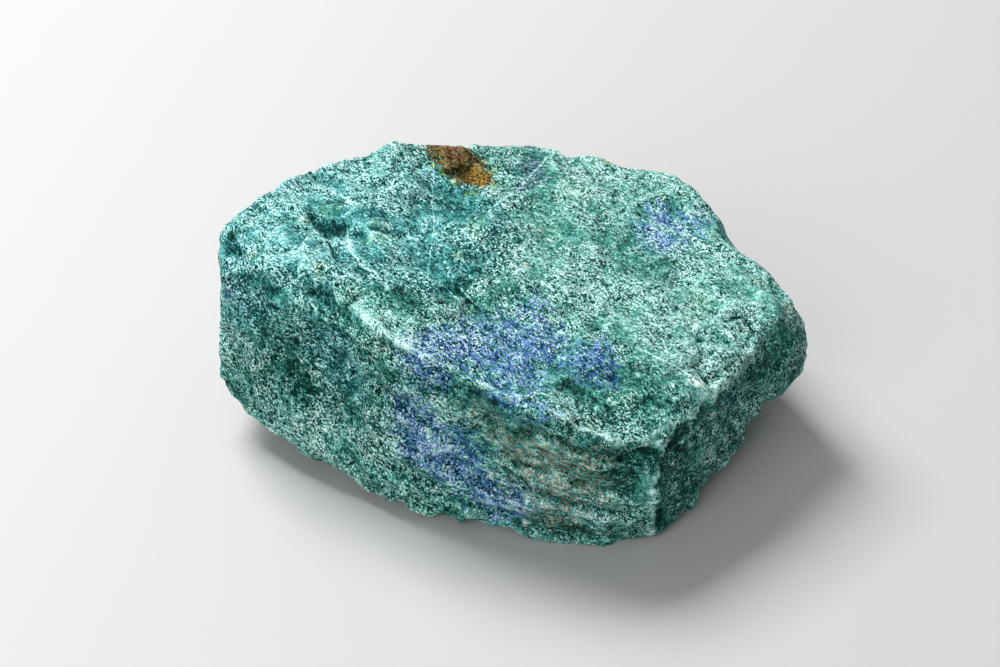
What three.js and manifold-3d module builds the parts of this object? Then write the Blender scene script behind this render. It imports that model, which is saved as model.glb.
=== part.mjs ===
// A rough azurite-malachite specimen, about 55 mm long: one stone, broken from a larger lump.
// Millimetres, +Z up, resting on its flat sole at z = 0, with the longest side along X.
// The stone is the hull of its outer corners. Flakes are then broken off it, its edges are worn,
// its faces are roughened with lumps, ledges and pits, and its sole is ground flat.
import * as THREE from "three";
import { ConvexHull } from "three/addons/math/ConvexHull.js";
import { ImprovedNoise } from "three/addons/math/ImprovedNoise.js";
import { mergeVertices } from "three/addons/utils/BufferGeometryUtils.js";
import Module from "manifold-3d";

const wasm = await Module();
wasm.setup();

// Driving dimensions
const facetDetail = 22; // rows of facets along each edge of the ball that the mesh starts from
const roughSize = new THREE.Vector3(27, 21, 10); // half the stone's length, width and height
const evenPasses = 14; // rounds that spread the facets evenly
const ridgeAngle = THREE.MathUtils.degToRad(24); // two faces that meet at more than this make a ridge
const ridgePull = 0.65; // a point of the mesh that is nearer to a ridge than this moves onto it
const wearPasses = 1; // rounds of wear, each of which dulls the sharp edges a little more
const wearShare = 0.3; // how far each round moves a point towards its neighbours
const lumps = { width: 9, height: 0.7, seed: 11.3 };
const grain = { width: 3.2, height: 0.4, seed: 4.7 };
const meanRise = 0.3; // how far the lumps and grain stand out on average
const ledgePitch = 3.4; // from one bedding ledge of the front face to the next
const ledgeHeight = 0.8;
const ledgeWander = { width: 7, height: 1.6, seed: 2.9 }; // how the ledges stray from straight lines
const frontFacing = { from: 0.45, to: 0.8 }; // the ledges fade in as a face turns to the front
const frontSpan = { left: -14, right: 16, fade: 6 }; // and out towards the ends of the front
const pitWidth = 1.6;
const pitDepth = 0.5;
const soleReach = 0.3; // a point this near to the sole is put in its plane
const scarTolerance = 0.02; // a ridge is gone where a flake has lowered it by more than this
const weldDistance = 1e-4; // points nearer to each other than this are one point
const grinderSize = 100;

// Outer corners, each [x, y, z], with the front of the stone towards -Y
const corners = [
  // The brow, the long ridge between the top and the front, from the left end to the right
  [-26.0, -0.3, 17.5],
  [-23.0, -2.3, 19.5],
  [-19.5, -4.0, 20.6],
  [-14.8, -7.9, 19.4],
  [-9.0, -13.6, 17.8],
  [-3.0, -17.0, 16.3],
  [2.5, -19.4, 15.2],
  [6.7, -21.2, 14.2],
  [9.8, -22.0, 13.1],
  [13.1, -19.9, 11.9],
  // The top edge of the right end, and the bevel below it
  [15.0, -16.9, 12.5],
  [18.2, -12.0, 13.1],
  [21.2, -7.0, 13.7],
  [24.4, -4.0, 14.0],
  [25.2, -2.5, 14.5],
  [17.0, -14.2, 9.6],
  [22.0, -5.8, 10.0],
  [26.0, -2.5, 9.6],
  // The bevel that runs from the right end up the back
  [27.5, 0.1, 11.5],
  [28.1, 0.8, 9.2],
  [25.9, 1.5, 14.2],
  [24.4, -0.9, 15.2],
  [22.0, 6.2, 14.4],
  [21.5, 4.3, 15.8],
  // The rim of the top, from the right end along the back to the left end
  [20.0, 11.2, 16.2],
  [18.0, 14.5, 16.9],
  [16.0, 18.0, 17.5],
  [8.8, 19.8, 18.6],
  [3.3, 20.8, 19.2],
  [-2.0, 20.8, 19.8],
  [-10.8, 18.9, 20.0],
  [-14.4, 17.3, 20.4],
  [-20.1, 13.1, 21.0],
  [-23.4, 8.5, 20.4],
  [-26.5, 4.3, 19.9],
  // The widest outline of the hidden back, half way up
  [24.4, 8.0, 8.5],
  [20.8, 16.0, 9.0],
  [13.5, 20.6, 9.5],
  [3.5, 22.0, 10.0],
  [-8.0, 21.6, 11.0],
  [-20.5, 15.6, 11.5],
  [-26.4, 9.0, 10.0],
  // The left end
  [-26.7, 1.2, 14.0],
  [-27.9, 1.0, 8.2],
  [-27.6, 0.6, 6.0],
  [-26.4, -0.4, 4.0],
  // The lower edge, from the left end along the front to the right end and round the back
  [-24.7, -0.8, 2.8],
  [-22.7, -3.2, 2.2],
  [-19.6, -7.2, 2.0],
  [-13.2, -12.1, 1.3],
  [-9.8, -13.2, 1.1],
  [-6.7, -15.4, 0.7],
  [-0.6, -16.4, 0.6],
  [3.0, -17.5, 0.5],
  [8.0, -18.2, 0.3],
  [10.9, -18.0, 0.5],
  [12.9, -17.5, 0.9],
  [15.8, -14.9, 0.9],
  [17.2, -12.1, 1.2],
  [19.0, -5.2, 1.7],
  [22.6, 0.6, 1.6],
  [26.2, 2.3, 2.6],
  [28.1, 1.8, 4.8],
  [27.7, 3.0, 6.5],
  [23.5, 8.6, 2.4],
  [19.5, 14.4, 2.6],
  [12.5, 18.8, 2.6],
  [3.0, 20.2, 2.6],
  [-8.5, 19.4, 2.8],
  [-18.5, 14.4, 3.0],
  [-24.6, 8.6, 3.2],
  // The sole
  [-19.0, 2.0, -1.1],
  [-9.0, -8.5, -1.1],
  [9.0, -13.5, -1.1],
  [17.5, -3.5, -1.1],
  [17.0, 8.5, -1.1],
  [2.0, 14.5, -1.1],
  [-14.0, 10.5, -1.1],
];

// Flakes that broke away and left a hollow scar: a point near its middle, which way it faces, and its size
const flakes = [
  // Rust hollow in the back rim
  { at: [-5.0, 19.9, 20.1], out: [0.0, 0.6, 1.0], width: 6.5, depth: 0.5 },
  // Teal scar behind the brow
  { at: [-5.0, 11.5, 20.0], out: [0.1, 0.0, 1.0], width: 12.0, depth: 0.9 },
  // Teal scar above the blue
  { at: [-4.0, 2.5, 19.0], out: [0.1, -0.1, 1.0], width: 11.0, depth: 0.6 },
  // Scoop in the left of the top
  { at: [-17.0, 4.5, 20.9], out: [0.1, -0.2, 1.0], width: 5.5, depth: 0.8 },
  // Bite in the brow
  { at: [-20.0, -4.2, 20.4], out: [-0.1, -0.8, 0.6], width: 8.0, depth: 0.6 },
  // Undercut below the brow
  { at: [-16.0, -8.6, 14.5], out: [-0.7, -0.7, -0.2], width: 9.0, depth: 0.9 },
  // Shoulder above the front corner
  { at: [10.5, -15.5, 14.6], out: [0.1, -0.3, 1.0], width: 12.0, depth: 0.9 },
  // Recess under the lip
  { at: [10.8, -20.4, 9.6], out: [0.1, -1.0, 0.0], width: 7.0, depth: 0.9 },
  // Long hollow in the front
  { at: [-2.5, -16.6, 7.5], out: [-0.3, -1.0, 0.0], width: 13.0, depth: 0.8 },
  // Hollow in the right end
  { at: [19.5, -8.5, 5.5], out: [0.9, -0.5, 0.0], width: 10.0, depth: 0.9 },
  // Undercut of the right tip
  { at: [23.4, 0.0, 2.0], out: [0.8, -0.5, -0.4], width: 9.0, depth: 1.5 },
  // Dip between the tip and the back
  { at: [21.3, 7.6, 15.6], out: [0.8, 0.5, 0.6], width: 7.0, depth: 0.9 },
  // Hollow in the right of the top
  { at: [13.0, 4.0, 17.0], out: [0.2, 0.0, 1.0], width: 13.0, depth: 0.7 },
  // Notch in the left end
  { at: [-27.4, 1.2, 10.8], out: [-1.0, -0.4, 0.0], width: 4.0, depth: 0.6 },
  // Bite in the lower left edge
  { at: [-16.5, -9.4, 1.7], out: [-0.7, -0.7, -0.6], width: 5.5, depth: 0.8 },
  // Nick in the lower left edge
  { at: [-20.9, -5.4, 2.1], out: [-0.7, -0.6, -0.6], width: 3.6, depth: 0.7 },
  // Broad scar in the back
  { at: [-2.0, 21.6, 11.0], out: [0.0, 1.0, 0.1], width: 15.0, depth: 1.5 },
  // Scar in the left of the back
  { at: [-19.5, 15.3, 9.0], out: [-0.7, 0.7, 0.0], width: 10.0, depth: 1.2 },
  // Scar in the right of the back
  { at: [17.0, 18.6, 12.0], out: [0.6, 0.8, 0.1], width: 9.0, depth: 1.0 },
  // Hollow in the left end
  { at: [-26.6, 6.5, 9.0], out: [-1.0, 0.3, 0.0], width: 8.0, depth: 0.9 },
];

// Small pits, each [x, y, z], where a grain has dropped out of the face
const pits = [
  [-16.0, 3.6, 20.8],
  [-14.5, 1.6, 20.4],
  [-23.2, -2.8, 15.5],
  [-21.0, -5.0, 12.0],
  [-20.5, -5.6, 8.5],
  [-11.0, -12.4, 12.5],
  [15.5, 1.0, 16.0],
  [17.5, -1.5, 15.4],
  [-5.0, -4.5, 18.6],
  [4.0, 6.0, 18.8],
];

// The bedding of the front face dips gently to the right
const beddingNormal = new THREE.Vector3(0.22, 0.1, 1).normalize();

const noise = new ImprovedNoise();
const vector = (xyz) => new THREE.Vector3(...xyz);
const heart = vector([0, 0, 9]); // every point of the surface can be seen from here

const hull = new ConvexHull().setFromPoints(corners.map(vector));
const hullFaces = hull.faces.map(({ normal, constant }) => {
  return { normal, fromHeart: constant - normal.dot(heart) };
});

// The ridges: the edges where two faces of the hull meet at more than a slight angle
const ridges = hull.faces.flatMap((face) =>
  [0, 1, 2].flatMap((i) => {
    const edge = face.getEdge(i);
    const sharp = edge.twin.face.normal.angleTo(face.normal) > ridgeAngle;
    return sharp ? [new THREE.Line3(edge.tail().point, edge.head().point)] : [];
  }),
);

// How far the hull reaches from the heart in a direction
function hullReach(direction) {
  let distance = Infinity;
  for (const { normal, fromHeart } of hullFaces) {
    const facing = normal.dot(direction);
    if (facing > 0) distance = Math.min(distance, fromHeart / facing);
  }
  return distance;
}

// A flake leaves a shallow round scar, so it is cut with a ball that is much larger than the scar
const flakeBalls = flakes.map(({ at, out, width, depth }) => {
  const radius = width ** 2 / (8 * depth) + depth / 2;
  const direction = vector(at).sub(heart).normalize();
  const onHull = direction.clone().multiplyScalar(hullReach(direction));
  return { fromHeart: vector(out).normalize().multiplyScalar(radius - depth).add(onHull), radius };
});

// How far the block reaches from its heart in a direction, before any wear
function reach(direction) {
  let distance = hullReach(direction);
  for (const { fromHeart, radius } of flakeBalls) {
    const along = fromHeart.dot(direction);
    const inside = along ** 2 - fromHeart.lengthSq() + radius ** 2;
    if (along > 0 && inside > 0) distance = Math.min(distance, along - Math.sqrt(inside));
  }
  return distance;
}

// The point of the block's surface that lies the same way from the heart as the given point
function onBlock(point) {
  const direction = point.clone().sub(heart).normalize();
  return direction.multiplyScalar(reach(direction)).add(heart);
}

// The nearest point of a ridge, where one is near and no flake has taken it away, or else the point itself
function ontoRidge(point) {
  let nearest = point;
  let shortest = ridgePull;
  for (const ridge of ridges) {
    const candidate = ridge.closestPointToPoint(point, true, new THREE.Vector3());
    const distance = candidate.distanceTo(point);
    if (distance < shortest && onBlock(candidate).distanceTo(candidate) < scarTolerance) {
      nearest = candidate;
      shortest = distance;
    }
  }
  return nearest;
}

// The middles of each point's neighbours
function neighbourMiddles(points, neighbours) {
  return points.map((_, i) => {
    const middle = new THREE.Vector3();
    for (const n of neighbours[i]) middle.add(points[n]);
    return middle.divideScalar(neighbours[i].length);
  });
}

// A ball of even facets, drawn over the block and then evened out along its surface
function blockMesh() {
  const ball = new THREE.IcosahedronGeometry(1, facetDetail);
  ball.deleteAttribute("normal");
  ball.deleteAttribute("uv");
  const merged = mergeVertices(ball, weldDistance);
  const triangles = [];
  for (let i = 0; i < merged.index.count; i += 3) {
    triangles.push([...merged.index.array.slice(i, i + 3)]);
  }
  let points = [];
  for (let i = 0; i < merged.attributes.position.count; i++) {
    const onBall = new THREE.Vector3().fromBufferAttribute(merged.attributes.position, i);
    points.push(onBlock(onBall.multiply(roughSize).add(heart)));
  }
  const neighbours = points.map(() => new Set());
  for (const [a, b, c] of triangles) {
    neighbours[a].add(b).add(c);
    neighbours[b].add(c).add(a);
    neighbours[c].add(a).add(b);
  }
  const around = neighbours.map((set) => [...set]);
  for (let round = 0; round < evenPasses; round++) {
    points = neighbourMiddles(points, around).map(onBlock).map(ontoRidge);
  }
  return { points, triangles, around };
}

// Moves each point a share of the way to the middle of its neighbours, which wears the edges round
function wear({ points, triangles, around }) {
  let worn = points;
  for (let pass = 0; pass < wearPasses; pass++) {
    const middles = neighbourMiddles(worn, around);
    worn = worn.map((point, i) => point.clone().lerp(middles[i], wearShare));
  }
  return { points: worn, triangles };
}

// A slow rise and fall of the surface, between minus and plus its height
const waveAt = (p, { width, height, seed }) =>
  height * noise.noise(p.x / width + seed, p.y / width + seed, p.z / width - seed);

// A step up and down from 0 to 1: 0 outside the range, 1 well inside it
const within = (value, low, high, fade) => {
  const risen = THREE.MathUtils.smoothstep(value, low, low + fade);
  const fallen = THREE.MathUtils.smoothstep(value, high - fade, high);
  return risen * (1 - fallen);
};

// How far the real face stands out from the worn block at a point, given which way the face looks there
function relief(p, normal) {
  const crests = grain.height - 2 * Math.abs(waveAt(p, grain));
  // The ledges rise slowly and break off sharply, as layers do, where the front cuts across them
  const layer = (p.dot(beddingNormal) + waveAt(p, ledgeWander)) / ledgePitch;
  const saw = layer - Math.floor(layer) - 0.5;
  const facesFront = THREE.MathUtils.smoothstep(-normal.y, frontFacing.from, frontFacing.to);
  const onFront = facesFront * within(p.x, frontSpan.left, frontSpan.right, frontSpan.fade);
  let height = waveAt(p, lumps) + crests - meanRise + onFront * ledgeHeight * saw;
  for (const pit of pits) {
    const away = p.distanceTo(vector(pit)) / pitWidth;
    height -= pitDepth * Math.exp(-(away ** 2));
  }
  return height;
}

function geometryOf({ points, triangles }) {
  const geometry = new THREE.BufferGeometry().setFromPoints(points);
  geometry.setIndex(triangles.flat());
  return geometry;
}

function roughen(mesh) {
  const geometry = geometryOf(mesh);
  geometry.computeVertexNormals();
  const normal = new THREE.Vector3();
  const points = mesh.points.map((point, i) => {
    normal.fromBufferAttribute(geometry.attributes.normal, i);
    const rough = point.clone().addScaledVector(normal, relief(point, normal));
    // A point just above or below the sole is put in its plane, so that the cut leaves no splinters
    if (Math.abs(rough.z) < soleReach) rough.z = 0;
    return rough;
  });
  return { points, triangles: mesh.triangles };
}

// A closed three.js geometry as a solid that can be joined and cut
function solidOf(geometry) {
  const bare = geometry.clone();
  bare.deleteAttribute("normal");
  bare.deleteAttribute("uv");
  const merged = mergeVertices(bare, weldDistance);
  const vertProperties = merged.attributes.position.array;
  const triVerts = new Uint32Array(merged.index.array);
  return new wasm.Manifold(new wasm.Mesh({ numProp: 3, vertProperties, triVerts }));
}

// Everything below the sole is ground away
function grindSole(geometry) {
  const grinder = new THREE.BoxGeometry(grinderSize, grinderSize, grinderSize);
  grinder.translate(0, 0, -grinderSize / 2);
  const { vertProperties, triVerts } = solidOf(geometry).subtract(solidOf(grinder)).getMesh();
  const ground = new THREE.BufferGeometry();
  ground.setAttribute("position", new THREE.BufferAttribute(vertProperties, 3));
  ground.setIndex(new THREE.BufferAttribute(triVerts, 1));
  return ground;
}

function makeStone() {
  const geometry = grindSole(geometryOf(roughen(wear(blockMesh()))));
  // The part's origin is the middle of its length and width, on the sole
  geometry.computeBoundingBox();
  const middle = geometry.boundingBox.getCenter(new THREE.Vector3());
  geometry.translate(-middle.x, -middle.y, 0);
  geometry.computeVertexNormals();
  return geometry;
}

const malachiteGreen = new THREE.MeshStandardMaterial({ color: 0x4f8f7d, roughness: 0.85, metalness: 0 });

const stone = new THREE.Mesh(makeStone(), malachiteGreen);
stone.name = "stone";

const specimen = new THREE.Group();
specimen.add(stone);

export default specimen;
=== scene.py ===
# %% [markdown]
# # An azurite-malachite specimen
# This notebook dresses one lump of rough rock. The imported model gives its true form, and everything
# here adds what the eye sees closer up: broken ledges, pits, crystal grain and the colours of the
# minerals. Lengths are in millimetres while a shape is worked on, and in metres once it is in the
# scene.

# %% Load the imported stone
import math

import bpy
import numpy as np
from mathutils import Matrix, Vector, noise
from mathutils.bvhtree import BVHTree


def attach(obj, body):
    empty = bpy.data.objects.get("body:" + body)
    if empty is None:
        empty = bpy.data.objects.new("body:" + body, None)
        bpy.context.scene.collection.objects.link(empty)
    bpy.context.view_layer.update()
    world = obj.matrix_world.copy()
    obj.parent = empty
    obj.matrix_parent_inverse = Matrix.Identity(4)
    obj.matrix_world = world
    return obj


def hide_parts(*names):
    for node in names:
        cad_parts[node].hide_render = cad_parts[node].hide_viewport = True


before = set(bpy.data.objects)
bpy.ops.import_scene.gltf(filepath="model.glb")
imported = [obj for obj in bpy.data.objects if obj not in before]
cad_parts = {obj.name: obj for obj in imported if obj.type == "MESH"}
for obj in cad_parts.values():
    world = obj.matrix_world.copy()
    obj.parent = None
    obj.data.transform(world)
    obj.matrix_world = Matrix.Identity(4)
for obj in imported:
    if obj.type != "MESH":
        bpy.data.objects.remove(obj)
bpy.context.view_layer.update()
METRES = 0.001

# %% [markdown]
# ## The camera
# The stone was photographed from its front, a little less than halfway between level and straight
# down. A long lens from 300 mm away keeps its edges nearly parallel. The aim point is on the floor,
# so a change to the stone's height doesn't move the view. The camera comes first because marks are
# placed by where it sees them.

# %% Camera
LENS = 108.0
SENSOR = 36.0
CAMERA_DISTANCE = 300.0
CAMERA_ELEVATION = math.radians(33.0)
CAMERA_AIM = Vector((-1.04, 16.53, 0.0))
IMAGE_WIDTH, IMAGE_HEIGHT = 1000, 667

look = Vector((0.0, math.cos(CAMERA_ELEVATION), -math.sin(CAMERA_ELEVATION)))
image_up = Vector((0.0, math.sin(CAMERA_ELEVATION), math.cos(CAMERA_ELEVATION)))
camera_at = CAMERA_AIM - CAMERA_DISTANCE * look

camera_data = bpy.data.cameras.new("camera")
camera_data.lens = LENS
camera_data.sensor_width = SENSOR
camera_data.clip_start = 0.01
camera = bpy.data.objects.new("camera", camera_data)
camera.location = camera_at * METRES
camera.rotation_euler = (math.pi / 2 - CAMERA_ELEVATION, 0.0, 0.0)
bpy.context.scene.collection.objects.link(camera)
bpy.context.scene.camera = camera
bpy.context.scene.view_settings.view_transform = "Standard"
print("camera at, mm:", [round(x, 1) for x in camera_at])

# %% [markdown]
# ## The floor and the lights
# The studio is plain: a pale floor, one large soft light behind and to the left, which rakes over the
# top and leaves the front in shade, and a weaker one in front. The world adds a little light from
# everywhere.

# %% Floor and lights
FLOOR_SIZE = 4.0
FLOOR_GREY = 0.46


def simple_material(name, grey, roughness):
    material = bpy.data.materials.new(name)
    material.use_nodes = True
    shader = material.node_tree.nodes["Principled BSDF"]
    shader.inputs["Base Color"].default_value = (grey, grey, grey, 1.0)
    shader.inputs["Roughness"].default_value = roughness
    return material


def soft_light(name, at, size, power):
    data = bpy.data.lights.new(name, "AREA")
    data.shape = "SQUARE"
    data.size = size
    data.energy = power
    light = bpy.data.objects.new(name, data)
    light.location = at
    light.rotation_euler = (-Vector(at)).to_track_quat("-Z", "Y").to_euler()
    bpy.context.scene.collection.objects.link(light)


bpy.ops.mesh.primitive_plane_add(size=FLOOR_SIZE, location=(0, 0, 0))
floor = bpy.context.object
floor.name = "floor"
floor.data.materials.append(simple_material("pale_floor", FLOOR_GREY, 0.6))

soft_light("key_light", (-0.22, 0.26, 0.42), 0.26, 4.4)
soft_light("front_light", (-0.25, -0.50, 0.28), 0.40, 2.3)

world = bpy.data.worlds.new("studio")
bpy.context.scene.world = world
world.use_nodes = True
world.node_tree.nodes["Background"].inputs["Color"].default_value = (1.0, 1.0, 1.0, 1.0)
world.node_tree.nodes["Background"].inputs["Strength"].default_value = 0.30

# %% [markdown]
# ## The fine surface
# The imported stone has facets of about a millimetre. Its rock has detail down to a tenth of that,
# which could be sculpted by hand, made by displacement in the render only, or worked out point by
# point on a finer mesh. The last way is used, because the detail is then in the mesh itself and the
# same from every side. The stone is first covered with even small squares, and the flat facets are
# smoothed out of it.

# %% Cover the stone with a fine, even mesh
FINE_EDGE = 0.27
FACET_SMOOTHING = 4
EDGE_SHARPENING = 1.1
EDGE_REACH = 16

stone_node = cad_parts["stone"]
piece = bpy.data.objects.new("stone_surface", stone_node.data.copy())
bpy.context.scene.collection.objects.link(piece)
piece.data.materials.clear()
for vertex in piece.data.vertices:
    vertex.co /= METRES
remesh = piece.modifiers.new("even_squares", "REMESH")
remesh.mode = "VOXEL"
remesh.voxel_size = FINE_EDGE
depsgraph = bpy.context.evaluated_depsgraph_get()
fine_mesh = bpy.data.meshes.new_from_object(piece.evaluated_get(depsgraph))
piece.modifiers.clear()
piece.data = fine_mesh
fine_mesh.name = "stone_surface"

points = np.array([v.co for v in fine_mesh.vertices])
quads = np.array([f.vertices for f in fine_mesh.polygons])
edges = np.array([e.vertices for e in fine_mesh.edges])
print("fine mesh:", len(points), "points,", len(quads), "squares")

# %% Helpers that work on the whole mesh at once
edge_ends = np.concatenate([edges, edges[:, ::-1]])
edge_counts = np.bincount(edge_ends[:, 0], minlength=len(points))


def neighbour_mean(values):
    """The mean of the values at each point's neighbours, for one number a point or three."""
    if values.ndim == 1:
        return np.bincount(edge_ends[:, 0], values[edge_ends[:, 1]], len(points)) / edge_counts
    return np.stack([neighbour_mean(values[:, k]) for k in range(values.shape[1])], 1)


def smoothed(values, rounds):
    for _ in range(rounds):
        values = 0.5 * (values + neighbour_mean(values))
    return values


def unit(vectors):
    return vectors / np.maximum(np.linalg.norm(vectors, axis=1, keepdims=True), 1e-9)


def normals_of(positions):
    a, b, c, d = (positions[quads[:, k]] for k in range(4))
    face_normals = np.cross(c - a, d - b)
    summed = np.zeros_like(positions)
    for corner in range(4):
        for k in range(3):
            summed[:, k] += np.bincount(quads[:, corner], face_normals[:, k], len(points))
    return unit(summed)


def ease(values, low, high):
    """0 below low, 1 above high, and a smooth rise between them."""
    t = np.clip((values - low) / (high - low), 0.0, 1.0)
    return t * t * (3.0 - 2.0 * t)


smooth_form = smoothed(points, FACET_SMOOTHING)
base = smooth_form + EDGE_SHARPENING * (smooth_form - smoothed(smooth_form, EDGE_REACH))
base[:, 2] = np.maximum(base[:, 2], 0.0)
base_normals = normals_of(smoothed(base, 6))
surface_tree = BVHTree.FromPolygons(base.tolist(), quads.tolist())
print("base form, mm:", base.min(0).round(2), base.max(0).round(2))

# %% [markdown]
# ## Finding a place on the stone
# Marks such as a pit, a vein or a patch of blue are named by the pixel where the photograph shows
# them. A ray from the camera through that pixel meets the stone at one point, and the mark is made
# there in three dimensions, so it stays on the stone from every side.

# %% From a pixel to a point on the stone
PIXELS_PER_SLOPE = LENS / SENSOR * IMAGE_WIDTH


def seen_at(pixel):
    """The point of the stone, in mm, that the camera sees at a pixel of the 1000 by 667 image."""
    x, y = pixel
    across, up = x - IMAGE_WIDTH / 2, IMAGE_HEIGHT / 2 - y
    direction = look * PIXELS_PER_SLOPE + Vector((across, 0, 0)) + image_up * up
    hit, _, _, _ = surface_tree.ray_cast(camera_at, direction.normalized())
    if hit is None:
        beside_the_stone = camera_at + direction * (CAMERA_DISTANCE / PIXELS_PER_SLOPE)
        hit, _, _, _ = surface_tree.find_nearest(beside_the_stone)
    return np.array(hit)


def sides_of_path(pixels):
    """Each point's distance in mm to a line through pixels, and with a sign: above 0 on its left."""
    stops = [seen_at(p) for p in pixels]
    nearest = np.full(len(base), np.inf)
    signed = np.zeros(len(base))
    for start, end in zip(stops, stops[1:]):
        run = end - start
        across = np.cross(run, look)
        across /= np.linalg.norm(across)
        share = np.clip((base - start) @ run / (run @ run), 0.0, 1.0)
        away = np.linalg.norm(base - start - share[:, None] * run, axis=1)
        closer = away < nearest
        nearest = np.where(closer, away, nearest)
        signed = np.where(closer, (base - start) @ across, signed)
    return nearest, signed


def distance_to_path(pixels):
    """Each point's distance in mm to a line drawn through some pixels, or to one pixel."""
    if len(pixels) == 1:
        return np.linalg.norm(base - seen_at(pixels[0]), axis=1)
    return sides_of_path(pixels)[0]


print("front corner of the top, mm:", seen_at((660, 449)).round(1))

# %% [markdown]
# ## Broken rock
# Rock like this breaks in small flat chips with sharp steps between them. A cloud pattern alone would
# look like dough. Here space is parted into cells, each cell has its own random tilt, and the surface
# is moved by the plane of the cell that it is in. The borders are bent by a slow noise first, so that
# no cell looks regular.

# %% Chips, in three sizes, and grain
SEED = 7
noise.seed_set(SEED)


def noise_field(positions, size, offset=0.0):
    """Smooth noise with lumps about size mm across. Each use has its own offset, so no two are alike."""
    return np.array([noise.noise(p) for p in (positions / size + offset).tolist()])


def chips(positions, size, tilt, offset):
    """Chips about size mm across: their height in mm, a random tone and kind for each, and their rims."""
    bend = [noise_field(positions, size * 1.3, offset + shift) for shift in (3.1, 17.7, 41.3)]
    warp = np.stack(bend, 1)
    warped = positions / size + 0.35 * warp + offset
    found = [noise.voronoi(p) for p in warped.tolist()]
    centres = np.array([points_near[0][:] for _, points_near in found])
    gaps = np.array([distances[1] - distances[0] for distances, _ in found])
    # The fraction of a large sine is as good as random, and is the same all over a chip
    mixing = np.array([[12.99, 39.35, 73.16], [78.23, 11.14, 52.24], [37.72, 83.16, 9.15]])
    turns = 437.6 * np.sin(centres @ mixing)
    random_values = turns - np.floor(turns)
    tilts = unit(2.0 * random_values - 1.0)
    return {
        "height": tilt * size * np.einsum("ij,ij->i", warped - centres, tilts),
        "tone": random_values[:, 0] - 0.5,
        "kind": random_values[:, 1],
        "rim": 1.0 - ease(gaps, 0.02, 0.18),
    }


# The right of the top broke in one clean flat face, with hardly a chip
SMOOTH_FACE = [
    (590, 200, 5.0), (640, 200, 5.0), (680, 240, 5.0), (620, 250, 5.0), (570, 250, 3.5),
    (600, 300, 5.0), (660, 300, 5.0), (710, 290, 4.5), (740, 300, 3.0), (690, 340, 3.5),
    (560, 290, 3.0), (520, 350, 3.5), (470, 345, 2.5), (570, 360, 4.0), (620, 350, 3.5),
    (540, 170, 3.0),
]


def weight_of(dabs):
    """The soft union of round dabs: full at a dab's middle, half of that at its radius, 0 far off."""
    missing = np.ones(len(base))
    for x, y, radius, *strength in dabs:
        full = strength[0] if strength else 1.0
        missing *= 1.0 - full * 0.5 ** ((distance_to_path([(x, y)]) / radius) ** 2)
    return 1.0 - missing


def weight_of_spots(spots):
    """The same for spots given by their place in mm, for the sides that the camera doesn't see."""
    missing = np.ones(len(base))
    for place, radius, full in spots:
        missing *= 1.0 - full * 0.5 ** ((np.linalg.norm(base - np.array(place), axis=1) / radius) ** 2)
    return 1.0 - missing


smooth_face = weight_of(SMOOTH_FACE)
chip_strength = 1.0 - 0.65 * smooth_face

chip_sets = {
    "large": chips(base, 4.2, 0.12, 5.0),
    "middle": chips(base, 1.9, 0.11, 11.0),
    "small": chips(base, 0.85, 0.09, 23.0),
}
SOFTENING = {"large": 2, "middle": 2, "small": 1}
chip_relief = sum(smoothed(chip_sets[name]["height"], rounds) for name, rounds in SOFTENING.items())
grain = 0.06 * noise_field(base, 0.55, 31.0) + 0.05 * noise_field(base, 1.1, 37.0)
print("chips, mm:", chip_relief.min().round(2), "to", chip_relief.max().round(2))

# %% [markdown]
# ## The bedding
# The right half of the front cuts across the layers that the rock grew in, and shows them as rows of
# small ledges that dip to the right. A saw-shaped wave along the direction of growth gives them: a
# slow rise and a sharp drop, as a layer breaks. The hidden back would cut the same layers, so parts
# of it get weaker ledges.

# %% Fine bedding ledges
BEDDING_NORMAL = np.array([0.22, 0.10, 1.0]) / np.linalg.norm([0.22, 0.10, 1.0])
BEDDING_PITCH = 1.25
BEDDING_HEIGHT = 0.26

right_half = ease(base[:, 0], -10.0, -3.0) * (1 - ease(base[:, 0], 12.0, 16.0))
front = ease(-base_normals[:, 1], 0.35, 0.75) * right_half
layer_bend = 0.8 * noise_field(base, 5.0, 3.0) + 0.25 * noise_field(base, 1.6, 9.0)
along_growth = base @ BEDDING_NORMAL + layer_bend
layer = along_growth / BEDDING_PITCH
saw = layer - np.floor(layer) - 0.5
layer_strength = 0.6 + 0.8 * noise_field(base, 3.0, 47.0)
behind = ease(base_normals[:, 1], 0.35, 0.75)
bedded = front + 0.8 * behind * ease(noise_field(base, 11.0, 53.0), -0.25, 0.2)
bedding = bedded * BEDDING_HEIGHT * saw * np.clip(layer_strength, 0.0, 1.5)
print("bedded part:", round(float(bedded.mean()), 3), "of the surface")

# %% [markdown]
# ## Pits, grooves, crests and steps
# These are the few forms that make this stone itself and no other: the dark scoop and the groove in
# the left of the top, the crest of the long brow, the steps beside the teal scar. Each is a line of
# pixels with a width in mm and a height in mm, which is below zero for a pit or a groove.

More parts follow.
